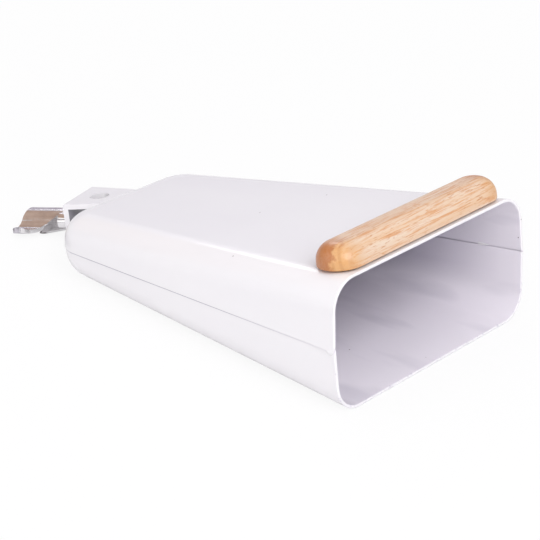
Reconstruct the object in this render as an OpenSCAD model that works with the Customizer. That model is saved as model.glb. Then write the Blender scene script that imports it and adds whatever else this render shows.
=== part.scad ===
// Hand percussion cowbell: two lapped steel shells, a wooden strike bar, and a rod clamp at the closed end.
// X runs to the mouth, Z is up, and the bell lies on its lower face with the origin at that face's centre.

/* [Bell] */
// Length of the bell along its axis
bell_length = 203; // [150:1:260]
// Width of a flat face at the mouth, between its unrounded corners
mouth_width = 138; // [128:0.5:165]
// Width of a flat face at the closed end, between its unrounded corners
rear_width = 88.5; // [80:0.5:108]
// Outside height of the mouth
mouth_height = 62; // [50:0.5:80]
// Outside height of the closed end
rear_height = 30.5; // [30:0.5:40]
// How far each wall leans out from the bend to the seam
wall_lean = 1.7; // [0.5:0.1:4]
// Outside radius of the bends round the upper and lower faces
bend_radius = 14.4; // [6:0.1:16]
// Outside radius of the closed end's corners, seen from above
corner_radius = 20.5; // [19.5:0.5:26]
// Thickness of the steel sheet
sheet = 1.5; // [0.8:0.1:2]
// Depth of the seam's outer line below the middle plane
upper_lap = 0.3; // [0:0.1:3]
// Height of the seam's inner line above the middle plane
lower_lap = 2; // [1:0.1:4]
// How far the lower shell's outside is set in from the upper shell's at the seam
lap_step = 0.25; // [0:0.05:0.6]
// Gap left between the two shells' bevelled edges
lap_gap = 0.06; // [0.02:0.01:0.2]

/* [Strike bar] */
// Length of the bar across the mouth
bar_length = 118.6; // [92:0.2:128]
// Sideways place of the bar's middle
bar_shift = 0.7; // [-3:0.1:3]
// Depth of the bar, front to back
bar_depth = 22.6; // [18:0.2:30]
// Height of the bar above the upper face
bar_height = 11.6; // [10:0.2:20]
// Distance from the mouth's edge back to the bar
bar_setback = 1.4; // [0.5:0.1:10]
// Radius of the bar's upper edges
bar_edge = 8.6; // [3:0.2:10]
// Radius of the bar's lower edges
bar_foot = 1.4; // [0.3:0.1:1.6]
// Gap left between the bar and the painted face
bar_gap = 0.05; // [0.02:0.01:0.2]
// Spacing of the two screws that hold the bar
screw_spacing = 70; // [40:1:72]
// Diameter of the bar's screws
screw_d = 4; // [3:0.1:5]
// Diameter of the screw heads
screw_head_d = 8; // [6.5:0.1:10]
// Height of the screw heads
screw_head_h = 2.6; // [1.5:0.1:4]
// How far the screws go into the bar
screw_bite = 8; // [5:0.5:8.5]
// Radial clearance round the screws
screw_clearance = 0.1; // [0.05:0.05:0.3]

/* [Bracket] */
// Thickness of the bracket's strap
strap = 2.8; // [2:0.1:3.2]
// Width of the strap at its leg
leg_width = 30.7; // [24:0.1:36]
// Width of the strap where it meets the bell
root_width = 24.6; // [20:0.1:30]
// Height of the bracket, outside to outside
bracket_height = 22; // [20:0.5:22.5]
// Length of the bracket behind the closed end, to the outside of its leg
bracket_reach = 23.5; // [22.8:0.1:32]
// Depth of the bracket's upper plate below the upper face
bracket_drop = 3.5; // [2.5:0.1:4]
// Turn of the bracket seen from above, away from the bell's axis
bracket_turn = 18; // [0:0.5:20]
// Sideways place of the bracket where it meets the bell
bracket_shift = 1.2; // [-6:0.1:6]
// Outside radius of the strap's bends
strap_bend = 1.2; // [0.4:0.1:2.5]
// Gap left for the weld between the bracket and the bell
weld_gap = 0.05; // [0.02:0.01:0.3]
// Diameter of the hole for the mounting rod
rod_hole_d = 10.2; // [8:0.1:10.4]
// Distance of the rod hole from the outside of the bracket's leg
rod_hole_back = 13.5; // [13:0.1:13.8]

/* [Clamp] */
// Depth of the clamp bolt below the top of the bracket
bolt_drop = 13.8; // [11:0.1:14.2]
// Diameter of the clamp bolt
bolt_d = 6; // [4:0.5:6.5]
// Length of the clamp bolt behind the bracket's leg
bolt_length = 8; // [6:0.5:8.5]
// Radial clearance of the clamp bolt in the bracket's leg
bolt_clearance = 0.3; // [0.1:0.05:0.5]
// Radial clearance of the clamp bolt in the wing nut
thread_clearance = 0.1; // [0.05:0.01:0.2]
// Extra radius of the eye over the rod hole
eye_clearance = 0.2; // [0.1:0.05:0.4]
// Thickness of the eye's wall
eye_wall = 2.3; // [1.8:0.1:2.4]
// Height of the eye along the rod
eye_height = 7; // [6.5:0.5:9]
// Outside diameter of the flat washer
washer_d = 13; // [11:0.5:13.5]
// Thickness of the flat washer
washer_h = 1; // [0.6:0.1:1.6]
// Gap left between the leg, the washer and the wing nut
seat_gap = 0.1; // [0.05:0.01:0.2]

/* [Wing nut] */
// Diameter of the wing nut's hub
hub_d = 8.6; // [8.4:0.1:12]
// Length of the hub
hub_length = 10.2; // [10:0.2:14]
// Diameter of the flare that joins the hub to the near wing, where the wing ends
flare_d = 17; // [13:0.5:18]
// Height of the flare's slope over the bolt's line
flare_top = 3; // [2:0.1:4]
// How far that slope falls for each millimetre towards the shorter wing
flare_fall = 1.7; // [1:0.1:2.5]
// Distance from the bracket's leg to the middle of the wings' end
wing_end = 34.4; // [32:0.2:42]
// How far the wings' end slants back for each millimetre across
wing_skew = 0.14; // [0:0.02:0.4]
// Half of the width over both wings
wing_reach = 13.3; // [11.5:0.1:14]
// Thickness of the wings
wing_plate = 2; // [1.5:0.1:2.5]
// Sideways place of the centre that each wing is bowed round
wing_bow_side = 7.1; // [6.5:0.1:8]
// Height of that centre, below the bolt for one wing and above it for the other
wing_bow_drop = 5.4; // [4:0.1:6]
// Radius of the wings' outer corners
wing_corner = 5; // [1:0.5:6]
// Distance from the bracket's leg to the wings' slanting front edge, on the bolt's line
wing_front = 12; // [10:0.2:14]
// Distance across from the bolt's line to the bend in the front edge
wing_knee_side = 3; // [2:0.1:4]
// Distance from the bracket's leg to that bend
wing_knee_back = 20; // [17:0.2:21]
// How far the front edge slants back past the bend for each millimetre across
wing_slant = 0.9; // [0.5:0.05:1]
// Distance of the longer wing from the bracket's leg
wing_clear = 3; // [2:0.1:6]

/* [Hidden] */
$fn = 48;

enamel = "whitesmoke";
beech = "burlywood";
plated = "silver";

// Steps of each bend and of each corner of the closed end
bend_steps = 8;
corner_steps = 7;
// Share of a wall that a bend may take up
bend_share = 0.9;
// Overrun of every cut
cut = 1;

// Half width and half height gained for each millimetre towards the mouth
flare = (mouth_width - rear_width) / (2 * bell_length);
rise = (mouth_height - rear_height) / (2 * bell_length);
flare_angle = atan(flare);
tilt = atan(rise);
rest_front = bell_length * cos(tilt) + mouth_height / 2 * sin(tilt);
rest_rear = rear_height / 2 * sin(tilt);
rest_mid = (rest_front + rest_rear) / 2;
rest_lift = rear_height / 2 * cos(tilt);
// Height of the seam's bevel across the sheet; the walls lean opposite ways, so the lower bevel is shallower
bevel = upper_lap + lower_lap;
low_bevel = bevel - wall_lean * bevel / (rear_height / 2);
// Drop that leaves the seam's gap square to the bevel
bevel_drop = lap_gap * norm([sheet, bevel]) / sheet;

bar_middle = -bar_setback - bar_depth / 2;
eye_bore = rod_hole_d / 2 + eye_clearance;
eye_radius = eye_bore + eye_wall;
nut_seat = washer_h + 2 * seat_gap;
wing_bow = norm([wing_bow_side, wing_bow_drop]);
// Where the front edge meets the longer wing's end and the shorter wing's side
wing_turn = wing_knee_side * (wing_clear - wing_front) / (wing_knee_back - wing_front);
wing_back = wing_knee_back + wing_slant * (wing_reach - wing_knee_side);

// Sets a piece drawn on the bell's own axis down on its lower face
module on_rest() {
    translate([-rest_mid, 0, rest_lift]) rotate([0, -tilt, 0]) children();
}

// Frame on the upper face: X along the face to the mouth, origin at the mouth's edge
module on_top_mouth() {
    on_rest() translate([bell_length, 0, mouth_height / 2]) rotate([0, -tilt, 0]) children();
}

// Frame of the bracket: X forward along the strap, origin on the leg's outside at the top of the upper plate
module on_bracket() {
    on_rest() translate([0, 0, rear_height / 2]) rotate([0, -tilt, 0]) translate([0, bracket_shift, -bracket_drop])
        rotate([0, 0, bracket_turn]) translate([-bracket_reach, 0, 0]) children();
}

// Frame of the clamp: Z back along the bolt from the leg's outside, X across the strap, Y up
module on_bolt() {
    on_bracket() translate([0, 0, -bolt_drop]) rotate([90, 0, -90]) children();
}

function mix(a, b, t) = a + (b - a) * t;

// Plan of a shell's edge as [x, y, outward x, outward y], from the near mouth round the closed end
function edge_path(inset, mouth) =
    let (
        half_width = rear_width / 2 + wall_lean - inset,
        r = corner_radius - inset,
        yc = half_width + flare * corner_radius - r / cos(flare_angle),
        near = concat(
            [[mouth, -half_width - flare * mouth, 0, -1]],
            [for (i = [0 : corner_steps]) let (q = mix(90 - flare_angle, 0, i / corner_steps))
                [corner_radius - r * cos(q), -yc - r * sin(q), -cos(q), -sin(q)]]
        )
    )
    concat(near, [for (i = [len(near) - 1 : -1 : 0]) let (p = near[i]) [p[0], -p[1], p[2], -p[3]]]);

// Section square to the edge: from its start points up the wall and round the bend onto the face
function bend_section(p, inset, starts, lean) =
    let (
        top = rear_height / 2 + rise * (p[0] - lean * p[2]) - inset / cos(tilt),
        corner = [-lean, top],
        wall_run = [lean, -top],
        wall = wall_run / norm(wall_run),
        face = [-1, -rise * p[2]] / norm([1, rise * p[2]]),
        half_angle = acos(wall * face) / 2,
        r = min(bend_radius - inset, bend_share * norm(wall_run) * tan(half_angle)),
        centre = corner + (wall + face) / norm(wall + face) * r / sin(half_angle),
        first = corner + wall * r / tan(half_angle) - centre,
        start = atan2(first[1], first[0]),
        sweep = 180 - 2 * half_angle
    )
    concat(
        [for (s = starts) [s[0] - lean * s[1] / top, s[1]]],
        [for (i = [0 : bend_steps]) let (t = start + sweep * i / bend_steps) centre + r * [cos(t), sin(t)]]
    );

// Rows of points over one skin of a half shell; its starts are given as [out from the wall, height]
function skin(edge_inset, inset, starts, lean, mouth) =
    [for (p = edge_path(edge_inset + inset, mouth))
        [for (s = bend_section(p, inset, starts, lean)) [p[0] + p[2] * s[0], p[1] + p[3] * s[0], s[1]]]];

// Closed solid under one skin, cut off at the seam and the mouth
module half_body(rows) {
    m = len(rows);
    n = len(rows[0]);
    function at(k, j) = k * n + j;
    sides = [for (k = [0 : m - 2]) for (j = [0 : n - 2]) each [
        [at(k, j), at(k + 1, j), at(k + 1, j + 1)],
        [at(k, j), at(k + 1, j + 1), at(k, j + 1)]]];
    face = [for (k = [0 : m - 1]) at(k, n - 1)];
    seam = [for (k = [m - 1 : -1 : 0]) at(k, 0)];
    mouth = concat([for (j = [0 : n - 1]) at(0, j)], [for (j = [n - 1 : -1 : 0]) at(m - 1, j)]);
    polyhedron([for (row = rows) each row], concat(sides, [face, seam, mouth]), convexity = 4);
}

// One half shell, set in by edge_inset; the starts of its outer and inner skins shape its edge
module half_shell(edge_inset, outer_starts, inner_starts) {
    lean = wall_lean - edge_inset;
    difference() {
        half_body(skin(edge_inset, 0, outer_starts, lean, bell_length));
        half_body(skin(edge_inset, sheet, inner_starts, lean, bell_length + cut));
    }
}

module at_screws() {
    on_top_mouth() for (y = [-1, 1]) translate([bar_middle, y * screw_spacing / 2, 0]) children();
}

module top_shell() {
    color(enamel) difference() {
        on_rest() half_shell(0, [[0, -upper_lap]], [[sheet + cut, -upper_lap - bevel * cut / sheet], [0, lower_lap]]);
        at_screws() translate([0, 0, -sheet - cut]) cylinder(h = sheet + 2 * cut, d = screw_d + 2 * screw_clearance);
    }
}

module bottom_shell() {
    edge = upper_lap + bevel_drop;
    color(enamel) on_rest() mirror([0, 0, 1])
        half_shell(lap_step, [[-sheet - cut, edge - low_bevel - low_bevel * cut / sheet], [0, edge]], [[0, -lower_lap - cut]]);
}

// A square block of the bar's end view, between two heights
module bar_block(width, low, high) {
    translate([-width / 2, low]) square([width, high - low]);
}

// End view of the bar, rounded along its upper and lower edges
module bar_profile() {
    bar_block(bar_depth, bar_foot, bar_height - bar_edge);
    bar_block(bar_depth - 2 * bar_edge, bar_foot, bar_height);
    bar_block(bar_depth - 2 * bar_foot, 0, bar_height - bar_edge);
    for (x = [-1, 1]) {
        translate([x * (bar_depth / 2 - bar_foot), bar_foot]) circle(bar_foot);
        intersection() {
            translate([x * (bar_depth / 2 - bar_edge), bar_height - bar_edge]) circle(bar_edge);
            bar_block(bar_depth, bar_foot, bar_height);
        }
    }
}

// The bar with half-round ends, each end turned from half of the profile
module bar_blank() {
    straight = bar_length - bar_depth;
    rotate([90, 0, 0]) linear_extrude(straight, center = true) bar_profile();
    for (y = [-1, 1]) translate([0, y * straight / 2, 0]) rotate_extrude() intersection() {
        bar_profile();
        square([bar_depth, bar_height]);
    }
}

module strike_bar() {
    color(beech) difference() {
        on_top_mouth() translate([bar_middle, bar_shift, bar_gap]) bar_blank();
        at_screws() translate([0, 0, -cut]) cylinder(h = screw_bite + 2 * cut, d = screw_d + 2 * screw_clearance);
    }
}

module bar_screws() {
    color(plated) at_screws() translate([0, 0, -sheet - seat_gap]) {
        cylinder(h = screw_bite + sheet, d = screw_d);
        translate([0, 0, -screw_head_h]) cylinder(h = screw_head_h, d1 = screw_head_d * 0.7, d2 = screw_head_d);
    }
}

// Side view of the strap's outer line, with the two bends at its leg
module strap_outline(length) {
    translate([strap_bend, 0]) square([length - strap_bend, bracket_height]);
    translate([0, strap_bend]) square([strap_bend, bracket_height - 2 * strap_bend]);
    for (z = [strap_bend, bracket_height - strap_bend]) translate([strap_bend, z]) circle(strap_bend);
}

// The bent strap, narrowing from its leg to the bell and overrunning into it
module strap_blank() {
    length = bracket_reach + root_width;
    end_width = mix(leg_width, root_width, length / bracket_reach);
    intersection() {
        rotate([90, 0, 0]) linear_extrude(leg_width, center = true) translate([0, -bracket_height]) difference() {
            strap_outline(length);
            translate([strap, strap]) square([length, bracket_height - 2 * strap]);
        }
        translate([0, 0, -bracket_height]) linear_extrude(bracket_height) polygon([
            [0, -leg_width / 2], [length, -end_width / 2], [length, end_width / 2], [0, leg_width / 2]]);
    }
}

module mount_bracket() {
    color(enamel) difference() {
        on_bracket() strap_blank();
        on_bracket() translate([rod_hole_back, 0, -bracket_height - cut]) cylinder(h = bracket_height + 2 * cut, d = rod_hole_d);
        on_bolt() translate([0, 0, -strap - cut]) cylinder(h = strap + 2 * cut, d = bolt_d + 2 * bolt_clearance);
        on_rest() {
            half_body(skin(0, -weld_gap, [[0, -upper_lap]], wall_lean, bell_length));
            mirror([0, 0, 1]) half_body(skin(lap_step, -weld_gap, [[0, -lower_lap]], wall_lean - lap_step, bell_length));
        }
    }
}

module eye_bolt() {
    color(plated) difference() {
        union() {
            on_bolt() translate([0, 0, -rod_hole_back]) cylinder(h = rod_hole_back + bolt_length, d = bolt_d);
            on_bracket() translate([rod_hole_back, 0, -bolt_drop]) cylinder(h = eye_height, r = eye_radius, center = true);
        }
        on_bracket() translate([rod_hole_back, 0, -bolt_drop]) cylinder(h = eye_height + 2 * cut, r = eye_bore, center = true);
    }
}

module flat_washer() {
    color(plated) on_bolt() translate([0, 0, seat_gap]) difference() {
        cylinder(h = washer_h, d = washer_d);
        translate([0, 0, -cut]) cylinder(h = washer_h + 2 * cut, d = bolt_d + 2 * bolt_clearance);
    }
}

// End view of both wings: two bowed plates that meet on the bolt's line
module wing_section() {
    centre = [wing_bow_side, wing_bow_drop];
    tip = wing_bow_side + wing_bow;
    circle(wing_plate / 2);
    for (turn = [0, 180]) rotate(turn) intersection() {
        translate(centre) difference() {
            circle(wing_bow + wing_plate / 2);
            circle(wing_bow - wing_plate / 2);
        }
        polygon([centre, -centre * wing_plate / wing_bow, [0, -tip], [tip, -tip], [tip, 0]]);
    }
}

// Plan of the wings, across the strap and back along the bolt
module wing_plan() {
    across = wing_reach - wing_corner;
    near_end = wing_end + wing_skew * across;
    far_end = wing_end - wing_skew * across;
    polygon([
        [-wing_reach, wing_clear], [wing_turn, wing_clear], [wing_knee_side, wing_knee_back], [wing_reach, wing_back],
        [wing_reach, near_end - wing_corner], [across, near_end], [-across, far_end], [-wing_reach, far_end - wing_corner]]);
    translate([across, near_end - wing_corner]) circle(wing_corner);
    translate([-across, far_end - wing_corner]) circle(wing_corner);
}

// Flare from the hub to the shorter wing: a cone kept below a slope, running a little way into the wings' front edge
module wing_flare() {
    intersection() {
        translate([0, 0, wing_clear]) cylinder(h = wing_back - wing_clear, d1 = hub_d - cut, d2 = flare_d);
        rotate([90, 0, 0]) linear_extrude(2 * wing_reach, center = true) polygon([
            [wing_turn, wing_clear], [wing_reach, wing_clear], [wing_reach, wing_back + cut],
            [wing_knee_side, wing_knee_back + cut], [wing_turn, wing_clear + cut]]);
        linear_extrude(wing_end) polygon([
            [-flare_d, -flare_d], [(flare_top + flare_d) / flare_fall, -flare_d], [-flare_d, flare_top + flare_fall * flare_d]]);
    }
}

module wing_nut() {
    color(plated) on_bolt() difference() {
        union() {
            translate([0, 0, nut_seat]) cylinder(h = hub_length, d = hub_d);
            wing_flare();
            intersection() {
                linear_extrude(wing_end + wing_reach) wing_section();
                rotate([90, 0, 0]) linear_extrude(2 * wing_reach, center = true) wing_plan();
            }
        }
        cylinder(h = nut_seat + hub_length - cut, d = bolt_d + 2 * thread_clearance);
    }
}

top_shell();
bottom_shell();
strike_bar();
bar_screws();
mount_bracket();
eye_bolt();
flat_washer();
wing_nut();
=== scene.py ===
import math
import bmesh
import bpy
from mathutils import Matrix, Vector
from mathutils.bvhtree import BVHTree


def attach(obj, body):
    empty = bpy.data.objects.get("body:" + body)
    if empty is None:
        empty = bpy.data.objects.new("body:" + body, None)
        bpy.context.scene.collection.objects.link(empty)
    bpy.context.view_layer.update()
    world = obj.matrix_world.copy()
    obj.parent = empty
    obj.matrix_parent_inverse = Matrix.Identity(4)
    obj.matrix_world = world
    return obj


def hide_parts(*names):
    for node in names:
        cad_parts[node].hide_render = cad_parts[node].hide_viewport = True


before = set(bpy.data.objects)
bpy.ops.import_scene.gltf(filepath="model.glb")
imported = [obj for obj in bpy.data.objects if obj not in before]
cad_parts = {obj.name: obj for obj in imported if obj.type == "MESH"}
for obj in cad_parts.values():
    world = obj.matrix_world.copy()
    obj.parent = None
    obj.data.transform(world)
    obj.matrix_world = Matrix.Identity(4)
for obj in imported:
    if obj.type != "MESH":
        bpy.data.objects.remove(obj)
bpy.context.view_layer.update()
scene = bpy.context.scene
print("cowbell: frame loaded")

# pressed steel bell, metres, X to the mouth
bell = {
    "length": 0.203,
    "mouthWidth": 0.138,
    "rearWidth": 0.0885,
    "mouthHeight": 0.062,
    "rearHeight": 0.0305,
    "wallLean": 0.0017,
    "bendRadius": 0.0144,
    "cornerRadius": 0.0205,
    "sheet": 0.0015,
    "seamOuter": -0.0003,  # height of the seam's line outside
    "seamInner": 0.002,    # and inside
    "seamGap": 0.00011,
    "seamCrack": 0.0007,   # the lower edge stops short inside
    "lapStep": 0.00025,    # the lower shell is set in by this
    "bendShare": 0.9,
    "bendSteps": 18,
    "cornerSteps": 20,
    "lipRound": 0.00055,
    "lipSegments": 4,
    "lipAngle": 50,        # edges that turn more than this, in degrees, are rounded
}
flare = (bell["mouthWidth"] - bell["rearWidth"]) / (2 * bell["length"])
rise = (bell["mouthHeight"] - bell["rearHeight"]) / (2 * bell["length"])
flareAngle = math.atan(flare)
tilt = math.atan(rise)
restFront = bell["length"] * math.cos(tilt) + bell["mouthHeight"] / 2 * math.sin(tilt)
restRear = bell["rearHeight"] / 2 * math.sin(tilt)
restLift = bell["rearHeight"] / 2 * math.cos(tilt)

bracket = {
    "reach": 0.0235,
    "drop": 0.0035,
    "turn": math.radians(18),
    "shift": 0.0012,
    "height": 0.022,
    "rootWidth": 0.0246,
    "legWidth": 0.0307,
    "strap": 0.0028,
}


def turned(angle, axis):
    return Matrix.Rotation(angle, 4, axis)


def moved(x, y, z):
    return Matrix.Translation((x, y, z))


# the same frames as the solids use
onRest = moved(-(restFront + restRear) / 2, 0, restLift) @ turned(-tilt, "Y")
onTopMouth = onRest @ moved(bell["length"], 0, bell["mouthHeight"] / 2) @ turned(-tilt, "Y")
onTopRear = onRest @ moved(0, 0, bell["rearHeight"] / 2) @ turned(-tilt, "Y")
onBracket = (onTopRear @ moved(0, bracket["shift"], -bracket["drop"]) @ turned(bracket["turn"], "Z")
             @ moved(-bracket["reach"], 0, 0))


# node helpers
def newFinish(name):
    finish = bpy.data.materials.new(name)
    finish.use_nodes = True
    tree = finish.node_tree
    shader = tree.nodes["Principled BSDF"]
    return finish, tree, shader


def addNode(tree, kind, inputs=None, **settings):
    node = tree.nodes.new(kind)
    for key, value in settings.items():
        setattr(node, key, value)
    for key, value in (inputs or {}).items():
        if isinstance(value, bpy.types.NodeSocket):
            tree.links.new(value, node.inputs[key])
        else:
            node.inputs[key].default_value = value
    return node


def spotIn(tree, place):
    spot = addNode(tree, "ShaderNodeTexCoord").outputs["Object"]
    return addNode(tree, "ShaderNodeMapping", {
        "Vector": spot, "Location": place.to_translation(), "Rotation": place.to_euler()},
        vector_type="TEXTURE").outputs["Vector"]


def stretched(tree, spot, scale, location=(0, 0, 0), rotation=(0, 0, 0)):
    return addNode(tree, "ShaderNodeMapping", {
        "Vector": spot, "Scale": scale, "Location": location, "Rotation": rotation}).outputs["Vector"]


def axisOf(tree, spot, axis):
    return addNode(tree, "ShaderNodeSeparateXYZ", {0: spot}).outputs[axis]


def noiseAt(tree, spot, scale=1.0, detail=2.0, roughness=0.5):
    return addNode(tree, "ShaderNodeTexNoise", {
        "Vector": spot, "Scale": scale, "Detail": detail, "Roughness": roughness}).outputs["Fac"]


def spread(tree, value, low, high, fromLow=0.0, fromHigh=1.0):
    return addNode(tree, "ShaderNodeMapRange", {
        "Value": value, "From Min": fromLow, "From Max": fromHigh,
        "To Min": low, "To Max": high}).outputs["Result"]


def within(tree, value, low, high, soft):
    above = spread(tree, value, 0.0, 1.0, low - soft, low)
    below = spread(tree, value, 1.0, 0.0, high, high + soft)
    return joinMaths(tree, "MULTIPLY", above, below)


mixSockets = {"amount": 0, "first": 6, "second": 7, "result": 2}   # those of a colour mix


def blendColours(tree, amount, first, second):
    inputs = {mixSockets["amount"]: amount, mixSockets["first"]: first, mixSockets["second"]: second}
    node = addNode(tree, "ShaderNodeMix", inputs, data_type="RGBA", blend_type="MIX")
    return node.outputs[mixSockets["result"]]


def joinMaths(tree, kind, first, second):
    return addNode(tree, "ShaderNodeMath", {0: first, 1: second}, operation=kind).outputs[0]


def bumpFrom(tree, height, bump, under=None):
    strength, depth = bump
    values = {"Height": height, "Strength": strength, "Distance": depth}
    if under is not None:
        values["Normal"] = under
    return addNode(tree, "ShaderNodeBump", values).outputs["Normal"]


# white baked enamel over steel, with painted shade deep inside the bell and in the bracket's recesses
# a mix is low, high and the range they are spread over, a bump is strength and depth
enamelLook = {
    "light": (0.868, 0.859, 0.876, 1),
    "shade": (0.846, 0.834, 0.860, 1),
    "cloudStretch": (9, 26, 26),
    "cloudMix": (0.0, 1.0, 0.3, 0.7),
    # the lining is a shaded copy of the enamel: a more lilac tint, and painted shade deep inside
    "inside": (0.852, 0.822, 0.876, 1),
    "deepShade": (0.335, 0.318, 0.410, 1),
    "shadeDepthMix": (1.0, 0.0, 0.120, 0.192),     # along the bell, where the painted shade inside deepens
    "shadeWallMix": (0.07, 1.0, -0.022, -0.010),   # the lower face inside gets less of the painted shade
    "shadeCloudMix": (0.80, 1.0, 0.3, 0.7),
    "streakStretch": (14, 60, 95),
    "streakMix": (0.0, 0.26, 0.48, 0.70),
    "speck": (0.17, 0.14, 0.14, 1),
    "speckCells": 62.0,
    "speckRadius": 0.020,
    "chip": (0.50, 0.46, 0.58, 1),
    "chipDepth": 0.0008,   # chips reach this far back from the mouth's edge
    "chipGrain": 420,
    "chipLowMix": (0.10, -0.08, -0.03, 0.03),   # more of them low down
    "chipMix": (0.0, 0.45, 0.66, 0.78),
    # painted shade: grey inside the bracket's legs, near black in the corner before the bell's rear wall
    "recess": (0.40, 0.39, 0.43, 1),
    "corner": (0.15, 0.16, 0.19, 1),
    "roughGrain": 55,
    "roughMix": (0.26, 0.40),
    "coat": 0.66,
    "insideCoat": 0.30,
    "coatRoughness": 0.08,
    "waveGrain": 28,
    "waveBump": (0.25, 0.0009),
    "peelGrain": 620,
    "peelBump": (0.10, 0.00025),
    "pitBump": (0.5, 0.0002),
}
# where the painted shade falls, in the bracket's frame
shadeBounds = {
    "edge": 0.0001,
    "lift": 1.5,           # straps above the lower plate
    "legsTo": 0.8,         # shares of the bracket's reach
    "wallTo": 1.8,
    "legsShare": 0.495,    # shares of its two widths
    "wallShare": 0.42,
    "wallEdge": 0.001,
}


# paints shade into the bracket's recesses on the outer enamel
def recessShadeColour(tree, colour):
    spot = spotIn(tree, onBracket)
    x = axisOf(tree, spot, "X")
    low = bracket["strap"] * shadeBounds["lift"] - bracket["height"]
    high = within(tree, axisOf(tree, spot, "Z"), low, -bracket["strap"], shadeBounds["edge"])
    across = axisOf(tree, spot, "Y")
    legsEnd = bracket["reach"] * shadeBounds["legsTo"]
    legsHalf = bracket["legWidth"] * shadeBounds["legsShare"]
    legs = joinMaths(tree, "MULTIPLY", within(tree, x, bracket["strap"], legsEnd, shadeBounds["edge"]),
                     within(tree, across, -legsHalf, legsHalf, shadeBounds["edge"]))
    wallEnd = bracket["reach"] * shadeBounds["wallTo"]
    wallHalf = bracket["rootWidth"] * shadeBounds["wallShare"]
    wall = joinMaths(tree, "MULTIPLY", within(tree, x, legsEnd, wallEnd, shadeBounds["edge"]),
                     within(tree, across, -wallHalf, wallHalf, shadeBounds["wallEdge"]))
    recessShaded = blendColours(tree, joinMaths(tree, "MULTIPLY", legs, high), colour, enamelLook["recess"])
    return blendColours(tree, joinMaths(tree, "MULTIPLY", wall, high), recessShaded, enamelLook["corner"])


def makeEnamel(name, lining):
    finish, tree, shader = newFinish(name)
    spot = spotIn(tree, onRest)
    x = axisOf(tree, spot, "X")
    cloud = noiseAt(tree, stretched(tree, spot, enamelLook["cloudStretch"]), detail=3.0)
    # inside, painted shade: darker towards the closed end, less on the lower face, in clouds and streaks
    if lining:
        depth = spread(tree, x, *enamelLook["shadeDepthMix"])
        wall = spread(tree, axisOf(tree, spot, "Z"), *enamelLook["shadeWallMix"])
        insideShade = joinMaths(tree, "MULTIPLY", joinMaths(tree, "MULTIPLY", depth, wall),
                         spread(tree, cloud, *enamelLook["shadeCloudMix"]))
        streaks = noiseAt(tree, stretched(tree, spot, enamelLook["streakStretch"]))
        insideShade = joinMaths(tree, "MAXIMUM", insideShade, spread(tree, streaks, *enamelLook["streakMix"]))
        tint = blendColours(tree, insideShade, enamelLook["inside"], enamelLook["deepShade"])
    else:
        cloudShare = spread(tree, cloud, *enamelLook["cloudMix"])
        tint = recessShadeColour(tree, blendColours(tree, cloudShare, enamelLook["light"], enamelLook["shade"]))
    cells = addNode(tree, "ShaderNodeTexVoronoi", {"Vector": spot, "Scale": enamelLook["speckCells"]})
    speck = joinMaths(tree, "LESS_THAN", cells.outputs["Distance"], enamelLook["speckRadius"])
    flawed = blendColours(tree, speck, tint, enamelLook["speck"])
    lip = joinMaths(tree, "GREATER_THAN", x, bell["length"] - enamelLook["chipDepth"])
    low = spread(tree, axisOf(tree, spot, "Z"), *enamelLook["chipLowMix"])
    worn = joinMaths(tree, "ADD", noiseAt(tree, spot, enamelLook["chipGrain"], detail=3.0), low)
    chips = joinMaths(tree, "MULTIPLY", lip, spread(tree, worn, *enamelLook["chipMix"]))
    colour = blendColours(tree, chips, flawed, enamelLook["chip"])
    tree.links.new(colour, shader.inputs["Base Color"])
    dullness = spread(tree, noiseAt(tree, spot, enamelLook["roughGrain"]), *enamelLook["roughMix"])
    tree.links.new(dullness, shader.inputs["Roughness"])
    shader.inputs["Coat Weight"].default_value = enamelLook["insideCoat" if lining else "coat"]
    shader.inputs["Coat Roughness"].default_value = enamelLook["coatRoughness"]
    wave = bumpFrom(tree, noiseAt(tree, spot, enamelLook["waveGrain"], detail=1.0), enamelLook["waveBump"])
    peel = bumpFrom(tree, noiseAt(tree, spot, enamelLook["peelGrain"]), enamelLook["peelBump"], wave)
    pits = joinMaths(tree, "SUBTRACT", 1.0, joinMaths(tree, "MAXIMUM", chips, speck))
    tree.links.new(bumpFrom(tree, pits, enamelLook["pitBump"], peel), shader.inputs["Normal"])
    return finish


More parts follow.
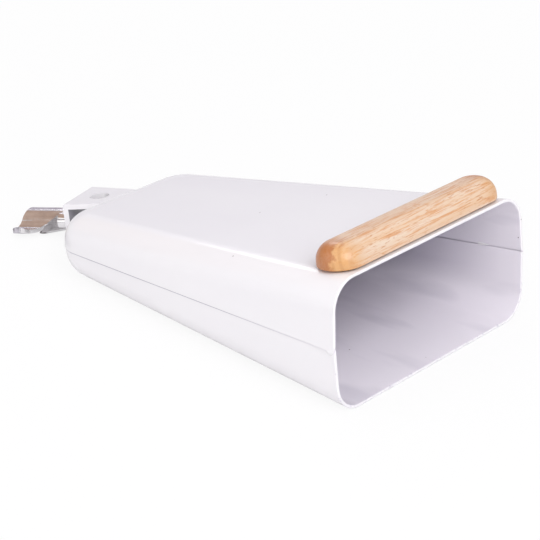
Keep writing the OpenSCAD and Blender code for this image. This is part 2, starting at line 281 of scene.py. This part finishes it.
# lacquered light hardwood, grain along Y of the bar
woodLook = {
    "pale": (0.745, 0.600, 0.470, 1),
    "band": (0.722, 0.490, 0.308, 1),
    "line": (0.650, 0.318, 0.138, 1),
    "fleck": (0.540, 0.225, 0.085, 1),
    "end": (0.672, 0.355, 0.130, 1),
    "endRing": (0.540, 0.245, 0.075, 1),
    "endRearDark": (0.420, 0.118, 0.014, 1),
    "driftStretch": (60, 22, 60),
    "driftMix": (0.2, 1.0, 0.4, 0.6),
    "ringStretch": (1, 0.30, 1),
    "ringShift": (0.034, 0.004, 0.008),
    "ringTurn": (math.radians(2), 0, math.radians(3)),
    "ringScale": 105.0,
    "ringWarp": 3.0,
    "ringDetail": 3.0,
    "ringDetailScale": 0.5,
    "ringRoughness": 0.6,
    "ringMix": (0.0, 0.38, 0.35, 1.0),
    "fibreStretch": (950, 50, 950),
    "fibreShift": (0, 0, 3),
    "fibreRoughness": 0.68,
    "fibreMix": (0.0, 0.95, 0.48, 0.62),
    "broadStretch": (210, 10, 210),
    "broadMix": (0.0, 0.85, 0.36, 0.66),
    "dashStretch": (1400, 190, 1400),
    "dashMix": (0.0, 0.8, 0.58, 0.68),
    "knotSpot": (0.004, 0.002, 0.0105),
    "knotMix": (0.9, 0.0, 0.0027, 0.009),        # by the distance from its middle
    "curlStretch": (420, 300, 420),
    "curlRoughness": 0.6,
    "curlMix": (0.0, 1.0, 0.52, 0.62),
    "endMix": (0.0, 0.9, 0.043, 0.055),          # by the distance along the bar
    "endRingMix": (0.0, 0.5, 0.45, 0.95),
    "endRearMix": (0.88, 0.0, 0.0018, 0.0044),     # across the bar, the ends darker towards the rear
    "endRearWander": (-0.0018, 0.0018, 0.35, 0.65),
    "roughMix": (0.34, 0.50),
    "coat": 0.38,
    "coatRoughness": 0.16,
    "lineBump": (0.16, 0.0002),
}


def makeWood(place):
    finish, tree, shader = newFinish("bar_hardwood")
    spot = spotIn(tree, place)
    drift = noiseAt(tree, stretched(tree, spot, woodLook["driftStretch"]))
    ringSpot = stretched(tree, spot, woodLook["ringStretch"], woodLook["ringShift"], woodLook["ringTurn"])
    rings = addNode(tree, "ShaderNodeTexWave", {
        "Vector": ringSpot, "Scale": woodLook["ringScale"], "Distortion": woodLook["ringWarp"],
        "Detail": woodLook["ringDetail"], "Detail Scale": woodLook["ringDetailScale"],
        "Detail Roughness": woodLook["ringRoughness"]},
        wave_type="RINGS", rings_direction="Y", wave_profile="SIN").outputs["Fac"]
    fibres = noiseAt(tree, stretched(tree, spot, woodLook["fibreStretch"], woodLook["fibreShift"]),
                     detail=4.0, roughness=woodLook["fibreRoughness"])
    broad = noiseAt(tree, stretched(tree, spot, woodLook["broadStretch"]), detail=3.0)
    dashes = noiseAt(tree, stretched(tree, spot, woodLook["dashStretch"]))
    body = blendColours(tree, spread(tree, broad, *woodLook["broadMix"]), woodLook["pale"], woodLook["band"])
    body = blendColours(tree, spread(tree, rings, *woodLook["ringMix"]), body, woodLook["band"])
    lined = blendColours(tree, spread(tree, fibres, *woodLook["fibreMix"]), body, woodLook["line"])
    often = joinMaths(tree, "MULTIPLY", spread(tree, dashes, *woodLook["dashMix"]),
                      spread(tree, drift, *woodLook["driftMix"]))
    flecked = blendColours(tree, often, lined, woodLook["fleck"])
    away = addNode(tree, "ShaderNodeVectorMath", {0: spot, 1: woodLook["knotSpot"]},
                   operation="DISTANCE").outputs["Value"]
    curl = noiseAt(tree, stretched(tree, spot, woodLook["curlStretch"]), detail=3.0,
                   roughness=woodLook["curlRoughness"])
    knot = joinMaths(tree, "MULTIPLY", spread(tree, away, *woodLook["knotMix"]),
                     spread(tree, curl, *woodLook["curlMix"]))
    knotted = blendColours(tree, knot, flecked, woodLook["line"])
    fromMiddle = joinMaths(tree, "ABSOLUTE", axisOf(tree, spot, "Y"), 0.0)
    endShare = spread(tree, fromMiddle, *woodLook["endMix"])
    ringShare = spread(tree, rings, *woodLook["endRingMix"])
    endColour = blendColours(tree, ringShare, woodLook["end"], woodLook["endRing"])
    wander = spread(tree, curl, *woodLook["endRearWander"])
    across = joinMaths(tree, "ADD", axisOf(tree, spot, "X"), wander)
    endDarkened = blendColours(tree, spread(tree, across, *woodLook["endRearMix"]), endColour, woodLook["endRearDark"])
    colour = blendColours(tree, endShare, knotted, endDarkened)
    tree.links.new(colour, shader.inputs["Base Color"])
    tree.links.new(spread(tree, fibres, *woodLook["roughMix"]), shader.inputs["Roughness"])
    shader.inputs["Coat Weight"].default_value = woodLook["coat"]
    shader.inputs["Coat Roughness"].default_value = woodLook["coatRoughness"]
    tree.links.new(bumpFrom(tree, fibres, woodLook["lineBump"]), shader.inputs["Normal"])
    return finish


# polished plating on the clamp, duller zinc on the screws
plateLook = {
    "bright": (0.84, 0.83, 0.84, 1),
    "dull": (0.70, 0.68, 0.69, 1),
    "brightRough": (0.10, 0.20, 0.3, 0.7),
    "zinc": (0.62, 0.61, 0.58, 1),
    "zincDark": (0.44, 0.43, 0.41, 1),
    "zincRough": (0.28, 0.42, 0.3, 0.7),
    "cloudGrain": 130,
    "cloudMix": (0, 1, 0.35, 0.7),
    "scratchStretch": (300, 2600, 300),
    "scratchBump": (0.05, 0.0001),
    "rippleGrain": 240,
    "rippleBump": (0.10, 0.00025),
}


def makePlating(name, first, second, roughMix):
    finish, tree, shader = newFinish(name)
    spot = spotIn(tree, onBracket)
    cloud = noiseAt(tree, spot, plateLook["cloudGrain"], detail=3.0)
    tree.links.new(blendColours(tree, spread(tree, cloud, *plateLook["cloudMix"]), first, second),
                   shader.inputs["Base Color"])
    shader.inputs["Metallic"].default_value = 1.0
    scratches = noiseAt(tree, stretched(tree, spot, plateLook["scratchStretch"]))
    tree.links.new(spread(tree, scratches, *roughMix), shader.inputs["Roughness"])
    ripples = noiseAt(tree, spot, plateLook["rippleGrain"], detail=1.0)
    ripple = bumpFrom(tree, ripples, plateLook["rippleBump"])
    tree.links.new(bumpFrom(tree, scratches, plateLook["scratchBump"], ripple), shader.inputs["Normal"])
    return finish


enamel = makeEnamel("enamel_white_recess_shade", False)
lining = makeEnamel("enamel_inside_painted_shade", True)
plating = makePlating("clamp_plating", plateLook["bright"], plateLook["dull"], plateLook["brightRough"])
zinc = makePlating("screw_zinc", plateLook["zinc"], plateLook["zincDark"], plateLook["zincRough"])
print("cowbell: finishes made")


# mesh helpers
meshing = {
    "samePoint": 1e-7,     # corners of a new mesh this near are one
    "sameCorner": 1e-6,    # and those of a solid
    "softAngle": 40,       # edges that turn more than this, in degrees, are rounded
}


def addPiece(name, points, faces, place, finish, body, linedFaces=()):
    mesh = bpy.data.meshes.new(name)
    mesh.from_pydata([place @ Vector(p) for p in points], [], faces)
    for index in linedFaces:
        mesh.polygons[index].material_index = 1
    work = bmesh.new()
    work.from_mesh(mesh)
    bmesh.ops.remove_doubles(work, verts=work.verts, dist=meshing["samePoint"])
    bmesh.ops.recalc_face_normals(work, faces=work.faces)
    work.to_mesh(mesh)
    work.free()
    for polygon in mesh.polygons:
        polygon.use_smooth = True
    mesh.materials.append(finish)
    if linedFaces:
        mesh.materials.append(lining)
    piece = bpy.data.objects.new(name, mesh)
    scene.collection.objects.link(piece)
    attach(piece, body)
    return piece


def softenEdges(piece, width, segments, angle=meshing["softAngle"]):
    bevel = piece.modifiers.new("soft edges", "BEVEL")
    bevel.width = width
    bevel.segments = segments
    bevel.limit_method = "ANGLE"
    bevel.angle_limit = math.radians(angle)
    evenNormals(piece)


def evenNormals(piece):
    normals = piece.modifiers.new("even normals", "WEIGHTED_NORMAL")
    normals.keep_sharp = True


def dressNode(name, dress):
    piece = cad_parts[name]
    piece.data.materials.clear()
    piece.data.materials.append(dress["finish"])
    weld = piece.modifiers.new("joined corners", "WELD")
    weld.merge_threshold = meshing["sameCorner"]
    softenEdges(piece, dress["edge"], dress["segments"])


def ringFaces(rowCount, count):
    faces = []
    for k in range(rowCount - 1):
        for i in range(count):
            j = (i + 1) % count
            faces.append((k * count + i, k * count + j, (k + 1) * count + j, (k + 1) * count + i))
    return faces


def rowFace(row, count):
    return [row * count + i for i in range(count)]


# both half shells
def edgePath(inset):
    halfWidth = bell["rearWidth"] / 2 + bell["wallLean"] - inset
    r = bell["cornerRadius"] - inset
    yc = halfWidth + flare * bell["cornerRadius"] - r / math.cos(flareAngle)
    near = [(bell["length"], -halfWidth - flare * bell["length"], 0.0, -1.0)]
    for i in range(bell["cornerSteps"] + 1):
        q = (math.pi / 2 - flareAngle) * (1 - i / bell["cornerSteps"])
        u, v = -math.cos(q), -math.sin(q)
        near.append((bell["cornerRadius"] + r * u, -yc + r * v, u, v))
    return near + [(x, -y, u, -v) for x, y, u, v in reversed(near)]


def bendSection(p, inset, edge, lean):
    top = bell["rearHeight"] / 2 + rise * (p[0] - lean * p[2]) - inset / math.cos(tilt)
    corner = Vector((-lean, top))
    wallRun = Vector((lean, -top))
    wall = wallRun.normalized()
    face = Vector((-1, -rise * p[2])).normalized()
    halfAngle = math.acos(wall.dot(face)) / 2
    r = min(bell["bendRadius"] - inset, bell["bendShare"] * wallRun.length * math.tan(halfAngle))
    centre = corner + (wall + face).normalized() * r / math.sin(halfAngle)
    first = corner + wall * r / math.tan(halfAngle) - centre
    start = math.atan2(first.y, first.x)
    sweep = math.pi - 2 * halfAngle
    points = [Vector((-lean * edge / top, edge))]
    for i in range(bell["bendSteps"] + 1):
        t = start + sweep * i / bell["bendSteps"]
        points.append(centre + r * Vector((math.cos(t), math.sin(t))))
    return points


def skinRows(edgeInset, inset, edge, lean):
    rows = []
    for p in edgePath(edgeInset + inset):
        rows.append([(p[0] + p[2] * s.x, p[1] + p[3] * s.x, s.y) for s in bendSection(p, inset, edge, lean)])
    return rows


def addShell(name, node, edgeInset, outerEdge, innerEdge, flip):
    lean = bell["wallLean"] - edgeInset
    outer = skinRows(edgeInset, 0.0, outerEdge, lean)
    inner = skinRows(edgeInset, bell["sheet"], innerEdge, lean)
    m = len(outer)
    n = len(outer[0])
    points = [p for rows in (outer, inner) for row in rows for p in row]
    points = [(x, y, -z if flip else z) for x, y, z in points]

    def at(side, k, j):
        return side * m * n + k * n + j

    faces = []
    for side in (1, 0):
        for k in range(m - 1):
            for j in range(n - 1):
                faces.append((at(side, k, j), at(side, k + 1, j), at(side, k + 1, j + 1), at(side, k, j + 1)))
        faces.append([at(side, k, n - 1) for k in range(m)])
        if side:
            for k in range(m - 1):
                faces.append((at(0, k, 0), at(0, k + 1, 0), at(1, k + 1, 0), at(1, k, 0)))
            linedCount = len(faces)
    for k in (0, m - 1):
        for j in range(n - 1):
            faces.append((at(0, k, j), at(0, k, j + 1), at(1, k, j + 1), at(1, k, j)))
    faces.append((at(0, 0, n - 1), at(0, m - 1, n - 1), at(1, m - 1, n - 1), at(1, 0, n - 1)))
    piece = addPiece(name, points, faces, onRest, enamel, "bell", range(linedCount))
    softenEdges(piece, bell["lipRound"], bell["lipSegments"], bell["lipAngle"])
    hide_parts(node)
    return piece


topShell = addShell("upper_shell", "top_shell", 0.0, bell["seamOuter"], bell["seamInner"], False)
lowShell = addShell("lower_shell", "bottom_shell", bell["lapStep"], bell["seamGap"] - bell["seamOuter"],
                    bell["seamCrack"] - bell["seamInner"], True)
print("cowbell: shells made")

# strike bar, its own frame at the middle of its underside
bar = {
    "length": 0.1186,
    "shift": 0.0007,
    "depth": 0.0226,
    "height": 0.0116,
    "setback": 0.0014,
    "edge": 0.0086,
    "relief": 0.0034,      # the underside rises towards its edge
    "lift": 0.0008,
    "arris": 0.0005,
    "arrisSteps": 4,
    "gap": 0.00005,
    "edgeSteps": 14,
    "endSteps": 28,
    "sideSteps": 16,
    "screwSpacing": 0.070,
}
barMiddle = -bar["setback"] - bar["depth"] / 2
onBar = onTopMouth @ moved(barMiddle, bar["shift"], bar["gap"])
wood = makeWood(onBar)


def barOutline(radius):
    half = (bar["length"] - bar["depth"]) / 2
    line = []
    for side in (1, -1):
        for i in range(bar["endSteps"] + 1):
            a = (0 if side > 0 else math.pi) + math.pi * i / bar["endSteps"]
            line.append((radius * math.cos(a), side * half + radius * math.sin(a)))
        x = -side * radius
        for i in range(1, bar["sideSteps"]):
            line.append((x, side * half * (1 - 2 * i / bar["sideSteps"])))
    return line


def addBar():
    half = bar["depth"] / 2
    profile = [(half - bar["relief"], 0.0), (half - bar["arris"], bar["lift"])]
    for i in range(1, bar["arrisSteps"] + 1):
        a = math.pi / 2 * i / bar["arrisSteps"]
        profile.append((half - bar["arris"] * (1 - math.sin(a)),
                        bar["lift"] + bar["arris"] * (1 - math.cos(a))))
    for i in range(bar["edgeSteps"] + 1):
        a = math.pi / 2 * i / bar["edgeSteps"]
        profile.append((half - bar["edge"] + bar["edge"] * math.cos(a),
                        bar["height"] - bar["edge"] + bar["edge"] * math.sin(a)))
    rows = [[(x, y, z) for x, y in barOutline(r)] for r, z in profile]
    n = len(rows[0])
    points = [p for row in rows for p in row]
    faces = [rowFace(0, n), rowFace(len(rows) - 1, n)] + ringFaces(len(rows), n)
    piece = addPiece("wooden_bar", points, faces, onBar, wood, "bell")
    evenNormals(piece)
    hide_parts("strike_bar")


addBar()
print("cowbell: strike bar made")

# screws seen from inside the bell, heads down
screw = {
    "shank": 0.004,
    "head": 0.008,
    "headFace": 0.0056,
    "headHeight": 0.0026,
    "faceShare": 0.93,     # the face is flat up to here
    "faceRound": 0.0002,
    "browIn": 0.0004,      # the head narrows from its brow down to its face
    "browUnder": 0.0008,
    "rimUnder": 0.0003,
    "rimIn": 0.0001,
    "bite": 0.008,
    "point": 0.0014,
    "slotLong": 0.0020,
    "slotWide": 0.00045,
    "slotDeep": 0.0014,
    "slotShare": 0.75,     # the recess narrows to this at its floor
    "seat": 0.0001,
    "steps": 40,
    "slotRim": (0, 1, 5, 9, 11, 15, 19, 21, 25, 29, 31, 35),   # rim step beside each corner of the recess
    "edge": 0.00012,
    "edgeSegments": 2,
    "edgeAngle": 35,
}


def addScrews():
    for number, side in ((1, -1), (2, 1)):
        base = -bell["sheet"] - screw["seat"]
        low = base - screw["headHeight"]
        tip = base + screw["bite"]
        face = screw["headFace"] / 2
        head = screw["head"] / 2
        shank = screw["shank"] / 2
        rings = [(face * screw["faceShare"], low), (face, low + screw["faceRound"]),
                 (head - screw["browIn"], base - screw["browUnder"]), (head, base - screw["rimUnder"]),
                 (head - screw["rimIn"], base), (shank, base), (shank, tip),
                 (shank / 2, tip + screw["point"])]
        count = screw["steps"]
        points = [(r * math.cos(2 * math.pi * i / count), r * math.sin(2 * math.pi * i / count), z)
                  for r, z in rings for i in range(count)]
        faces = ringFaces(len(rings), count) + [rowFace(len(rings) - 1, count)]
        # cross recess let into the head's face, a part of the rim to each of its corners
        a = screw["slotLong"]
        b = screw["slotWide"]
        cross = [(a, -b), (a, b), (b, b), (b, a), (-b, a), (-b, b), (-a, b), (-a, -b), (-b, -b), (-b, -a),
                 (b, -a), (b, -b)]
        start = len(points)
        floor = start + len(cross)
        points += [(x, y, low) for x, y in cross]
        share = screw["slotShare"]
        points += [(x * share, y * share, low + screw["slotDeep"]) for x, y in cross]
        for i in range(len(cross)):
            j = (i + 1) % len(cross)
            stop = screw["slotRim"][j] if j else count
            arc = [index % count for index in range(screw["slotRim"][i], stop + 1)]
            faces.append(arc + [start + j, start + i])
            faces.append((start + i, start + j, floor + j, floor + i))
        faces.append([floor + i for i in range(len(cross))])
        place = onTopMouth @ moved(barMiddle, side * bar["screwSpacing"] / 2, 0)
        piece = addPiece("bar_screw_" + str(number), points, faces, place, zinc, "bell")
        softenEdges(piece, screw["edge"], screw["edgeSegments"], screw["edgeAngle"])
        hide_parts("bar_screws")


addScrews()
print("cowbell: screws made")

# clamp at the closed end
clamp = {
    "mount_bracket": {"finish": enamel, "edge": 0.0005, "segments": 3},
    "eye_bolt": {"finish": plating, "edge": 0.0004, "segments": 3},
    "flat_washer": {"finish": plating, "edge": 0.0002, "segments": 2},
    "wing_nut": {"finish": plating, "edge": 0.0004, "segments": 3},
}
for nodeName, nodeDress in clamp.items():
    dressNode(nodeName, nodeDress)
print("cowbell: clamp made")

# weld beads between the bracket and the bell, under the enamel
bead = {
    "radius": 0.0009,
    "ripple": 0.00022,
    "pitch": 0.0026,
    "taper": 0.25,         # a low power, so only the ends are thin
    "over": 0.001,         # longer than the bracket's root by this
    "castFrom": 0.004,
    "along": 60,
    "round": 12,
}


def shellTree(piece):
    work = bmesh.new()
    work.from_mesh(piece.data)
    tree = BVHTree.FromBMesh(work)
    work.free()
    return tree


def addBead(name, tree, height):
    ahead = onBracket.to_3x3() @ Vector((1, 0, 0))
    line = []
    for i in range(bead["along"] + 1):
        y = (i / bead["along"] - 0.5) * (bracket["rootWidth"] + bead["over"])
        hit = tree.ray_cast(onBracket @ Vector((bead["castFrom"], y, height)), ahead)[0]
        if hit is not None:
            line.append(hit)
    points = []
    for i, spot in enumerate(line):
        travel = (spot - line[0]).length
        taper = math.sin(math.pi * (i + 0.5) / len(line)) ** bead["taper"]
        r = (bead["radius"] + bead["ripple"] * math.cos(2 * math.pi * travel / bead["pitch"])) * taper
        way = (line[min(i + 1, len(line) - 1)] - line[max(i - 1, 0)]).normalized()
        sideways = way.cross(Vector((0, 0, 1))).normalized()
        up = sideways.cross(way).normalized()
        for j in range(bead["round"]):
            a = 2 * math.pi * j / bead["round"]
            points.append(spot + sideways * r * math.cos(a) + up * r * math.sin(a))
    n = bead["round"]
    faces = [rowFace(0, n), rowFace(len(line) - 1, n)] + ringFaces(len(line), n)
    addPiece(name, points, faces, Matrix.Identity(4), enamel, "bell")


topTree = shellTree(topShell)
addBead("upper_weld", topTree, 0.0)
addBead("lower_weld", shellTree(lowShell), -bracket["height"])

# tack welds that close the seam near the mouth
tacks = {
    "seam_tack_in": {"x": 0.1820, "from": 0.0, "way": 1, "seam": bell["seamInner"] - bell["seamCrack"] / 2,
                     "long": 0.0030, "high": 0.0008, "proud": 0.00022},
    "seam_tack_out": {"x": 0.2003, "from": -0.1, "way": 1, "seam": bell["seamOuter"],
                      "long": 0.0022, "high": 0.0013, "proud": 0.00020},
    "seam_tack_far": {"x": 0.2003, "from": 0.1, "way": -1, "seam": bell["seamOuter"],
                      "long": 0.0024, "high": 0.0012, "proud": 0.00020},
    "seam_tack_near": {"x": 0.1770, "from": 0.0, "way": -1, "seam": bell["seamInner"] - bell["seamCrack"] / 2,
                       "long": 0.0027, "high": 0.0008, "proud": 0.00022},
}
tackShape = {
    "rings": 7,
    "points": 28,
    "sink": 0.0004,
    "raise": 0.0005,       # the ray meets the upper sheet just above the seam
    "wobble": 0.10,
    "lobes": 3,
    "turn": 900,           # radians a metre, so no two tacks are alike
    "fineWobble": 0.06,
    "fineLobes": 5,
}


def addTack(name, tack):
    axes = onRest.to_3x3()
    ahead = axes @ Vector((0, tack["way"], 0))
    high = tack["seam"] + tackShape["raise"]
    hit, normal = topTree.ray_cast(onRest @ Vector((tack["x"], tack["from"], high)), ahead)[:2]
    if normal.dot(ahead) > 0:
        normal = -normal
    up = axes @ Vector((0, 0, 1))
    along = up.cross(normal).normalized()
    middle = hit - up * tackShape["raise"]
    count = tackShape["rings"]
    n = tackShape["points"]
    points = []
    for k in range(count):
        r = 1 - k / count
        for i in range(n):
            a = 2 * math.pi * i / n
            phase = tackShape["lobes"] * a + tack["x"] * tackShape["turn"]
            wobble = r * (1 + tackShape["wobble"] * math.cos(phase)
                          + tackShape["fineWobble"] * math.cos(tackShape["fineLobes"] * a))
            bulge = tack["proud"] * (1 - r * r) if k else -tackShape["sink"]
            points.append(middle + along * tack["long"] * wobble * math.cos(a)
                          + up * tack["high"] * wobble * math.sin(a) + normal * bulge)
    points.append(middle + normal * tack["proud"])
    faces = [rowFace(0, n)] + ringFaces(count, n)
    last = (count - 1) * n
    for i in range(n):
        faces.append((last + i, last + (i + 1) % n, count * n))
    addPiece(name, points, faces, Matrix.Identity(4), enamel, "bell")


for tackName, tackSetting in tacks.items():
    addTack(tackName, tackSetting)
print("cowbell: welds made")

# pale floor, white surroundings, soft light
studio = {
    "floorSize": 8.0,
    "floorDrop": 0.0003,
    "floorColour": (0.86, 0.855, 0.87, 1),
    "floorRoughness": 0.9,
    "floorWhite": 0.90,
    "floorShine": 0.30,    # how much of that white polished surfaces see
    "floorFade": (0.25, 1.10),   # from here out the floor turns plain white
    "overhead": (0.40, 0.39, 0.42, 1),
    "overheadFrom": (0.18, 0.80),
    "surround": (0.98, 0.966, 1.0, 1),
    "surroundLight": 0.42,
    "surroundShine": 0.72,  # how much of the white surroundings polished surfaces see
    "middle": (0, 0, 0.03),
    "cardMix": (0.0, 1.0, 0.38, 0.62),
}
lamps = {
    "key_light": {"spot": (-0.47, -1.50, 1.03), "size": 2.1, "energy": 12.6, "colour": (1.0, 0.99, 0.96)},
    "top_light": {"spot": (0.10, 0.35, 1.70), "size": 2.3, "energy": 9.3, "colour": (1.0, 1.0, 1.0)},
    "mouth_light": {"spot": (1.05, -0.40, 1.00), "size": 0.9, "energy": 12.8, "colour": (1.0, 0.98, 0.995)},
    "rim_light": {"spot": (-1.04, 0.725, 0.92), "size": 0.45, "energy": 1.8, "colour": (1.0, 1.0, 1.0)},
}
cards = {
    "warm_card": {"spot": (-0.29, -0.052, 0.19), "aim": (-0.14, -0.01, 0.01), "size": (0.276, 0.252),
                  "colour": (0.47, 0.335, 0.265, 1), "second": (0.60, 0.45, 0.37, 1), "cells": 9.0},
    "grey_card": {"spot": (-1.36, 1.34, 0.65), "aim": (0, 0, 0.03), "size": (2.4, 1.3),
                  "colour": (0.50, 0.46, 0.53, 1), "second": (0.55, 0.51, 0.58, 1), "cells": 1.5},
    "low_card": {"spot": (-0.170, -0.045, 0.0005), "aim": (-0.170, -0.045, 1.0), "size": (0.06, 0.07),
                 "colour": (0.14, 0.125, 0.12, 1), "second": (0.72, 0.69, 0.76, 1), "cells": 48.0},
    "flare_card": {"spot": (-0.168, -0.0735, 0.045), "aim": (-0.1377, -0.0107, 0.0055), "size": (0.04, 0.022),
                   "colour": (0.20, 0.19, 0.195, 1), "second": (0.52, 0.50, 0.52, 1), "cells": 110.0},
}


def seenRays(tree, shine):
    rays = addNode(tree, "ShaderNodeLightPath")
    mirrored = joinMaths(tree, "MAXIMUM", rays.outputs["Is Glossy Ray"], rays.outputs["Is Transmission Ray"])
    seen = joinMaths(tree, "MULTIPLY", mirrored, shine)
    return joinMaths(tree, "MAXIMUM", rays.outputs["Is Camera Ray"], seen)


def addSheet(name, wide, high, level):
    mesh = bpy.data.meshes.new(name)
    x = wide / 2
    y = high / 2
    mesh.from_pydata([(-x, -y, level), (x, -y, level), (x, y, level), (-x, y, level)], [], [(0, 1, 2, 3)])
    sheet = bpy.data.objects.new(name, mesh)
    scene.collection.objects.link(sheet)
    return sheet


def makeFloor():
    floor = addSheet("pale_floor", studio["floorSize"], studio["floorSize"], -studio["floorDrop"])
    finish, tree, shader = newFinish("floor_paper")
    shader.inputs["Base Color"].default_value = studio["floorColour"]
    shader.inputs["Roughness"].default_value = studio["floorRoughness"]
    white = addNode(tree, "ShaderNodeEmission", {"Color": (1, 1, 1, 1), "Strength": 1.0})
    away = addNode(tree, "ShaderNodeVectorMath", {0: addNode(tree, "ShaderNodeTexCoord").outputs["Object"]},
                   operation="LENGTH").outputs["Value"]
    whiter = spread(tree, away, studio["floorWhite"], 1.0, *studio["floorFade"])
    share = joinMaths(tree, "MULTIPLY", seenRays(tree, studio["floorShine"]), whiter)
    paper = addNode(tree, "ShaderNodeMixShader", {0: share, 1: shader.outputs[0], 2: white.outputs[0]})
    tree.links.new(paper.outputs[0], tree.nodes["Material Output"].inputs["Surface"])
    floor.data.materials.append(finish)


def makeSurroundings():
    world = bpy.data.worlds.new("white_studio")
    world.use_nodes = True
    scene.world = world
    tree = world.node_tree
    light = tree.nodes["Background"]
    light.inputs["Color"].default_value = studio["surround"]
    light.inputs["Strength"].default_value = studio["surroundLight"]
    height = axisOf(tree, addNode(tree, "ShaderNodeTexCoord").outputs["Generated"], "Z")
    shade = blendColours(tree, spread(tree, height, 0.0, 1.0, *studio["overheadFrom"]), (1, 1, 1, 1),
                         studio["overhead"])
    white = addNode(tree, "ShaderNodeBackground", {"Color": shade, "Strength": 1.0})
    both = addNode(tree, "ShaderNodeMixShader", {
        0: seenRays(tree, studio["surroundShine"]), 1: light.outputs[0], 2: white.outputs[0]})
    tree.links.new(both.outputs[0], tree.nodes["World Output"].inputs["Surface"])


def aimed(spot, target):
    ahead = Vector(target) - Vector(spot)
    return Matrix.Translation(spot) @ ahead.to_track_quat("-Z", "Y").to_matrix().to_4x4()


def addLamp(name, lamp):
    light = bpy.data.lights.new(name, "AREA")
    light.shape = "SQUARE"
    light.size = lamp["size"]
    light.energy = lamp["energy"]
    light.color = lamp["colour"]
    holder = bpy.data.objects.new(name, light)
    scene.collection.objects.link(holder)
    holder.matrix_world = aimed(lamp["spot"], studio["middle"])


def addCard(name, card):
    holder = addSheet(name, *card["size"], 0)
    holder.matrix_world = aimed(card["spot"], card["aim"])
    finish, tree = newFinish(name)[:2]
    patches = noiseAt(tree, addNode(tree, "ShaderNodeTexCoord").outputs["Object"], card["cells"], detail=1.0)
    mottled = blendColours(tree, spread(tree, patches, *studio["cardMix"]), card["colour"], card["second"])
    tint = addNode(tree, "ShaderNodeEmission", {"Color": mottled, "Strength": 1.0})
    tree.links.new(tint.outputs[0], tree.nodes["Material Output"].inputs["Surface"])
    holder.data.materials.append(finish)
    holder.visible_camera = False      # only polished surfaces see the cards
    holder.visible_diffuse = False
    holder.visible_shadow = False


makeFloor()
makeSurroundings()
for lampName, lampSetting in lamps.items():
    addLamp(lampName, lampSetting)
for cardName, cardSetting in cards.items():
    addCard(cardName, cardSetting)

view = {
    "target": (0.00161, 0.0, 0.01694),
    "azimuth": 41.11,
    "elevation": 24.22,
    "distance": 0.96371,
    "focalPixels": 2000,
    "imagePixels": 540,
    "sensor": 36,
    "clipStart": 0.01,
}


def addCamera():
    az = math.radians(view["azimuth"])
    el = math.radians(view["elevation"])
    away = Vector((math.sin(az) * math.cos(el), -math.cos(az) * math.cos(el), math.sin(el)))
    spot = Vector(view["target"]) + away * view["distance"]
    lens = bpy.data.cameras.new("photo_camera")
    lens.lens = view["focalPixels"] / view["imagePixels"] * view["sensor"]
    lens.sensor_width = view["sensor"]
    lens.clip_start = view["clipStart"]
    camera = bpy.data.objects.new("photo_camera", lens)
    scene.collection.objects.link(camera)
    camera.matrix_world = aimed(spot, view["target"])
    scene.camera = camera


addCamera()
scene.view_settings.view_transform = "Standard"
print("cowbell: studio set")

print("cowbell: done")
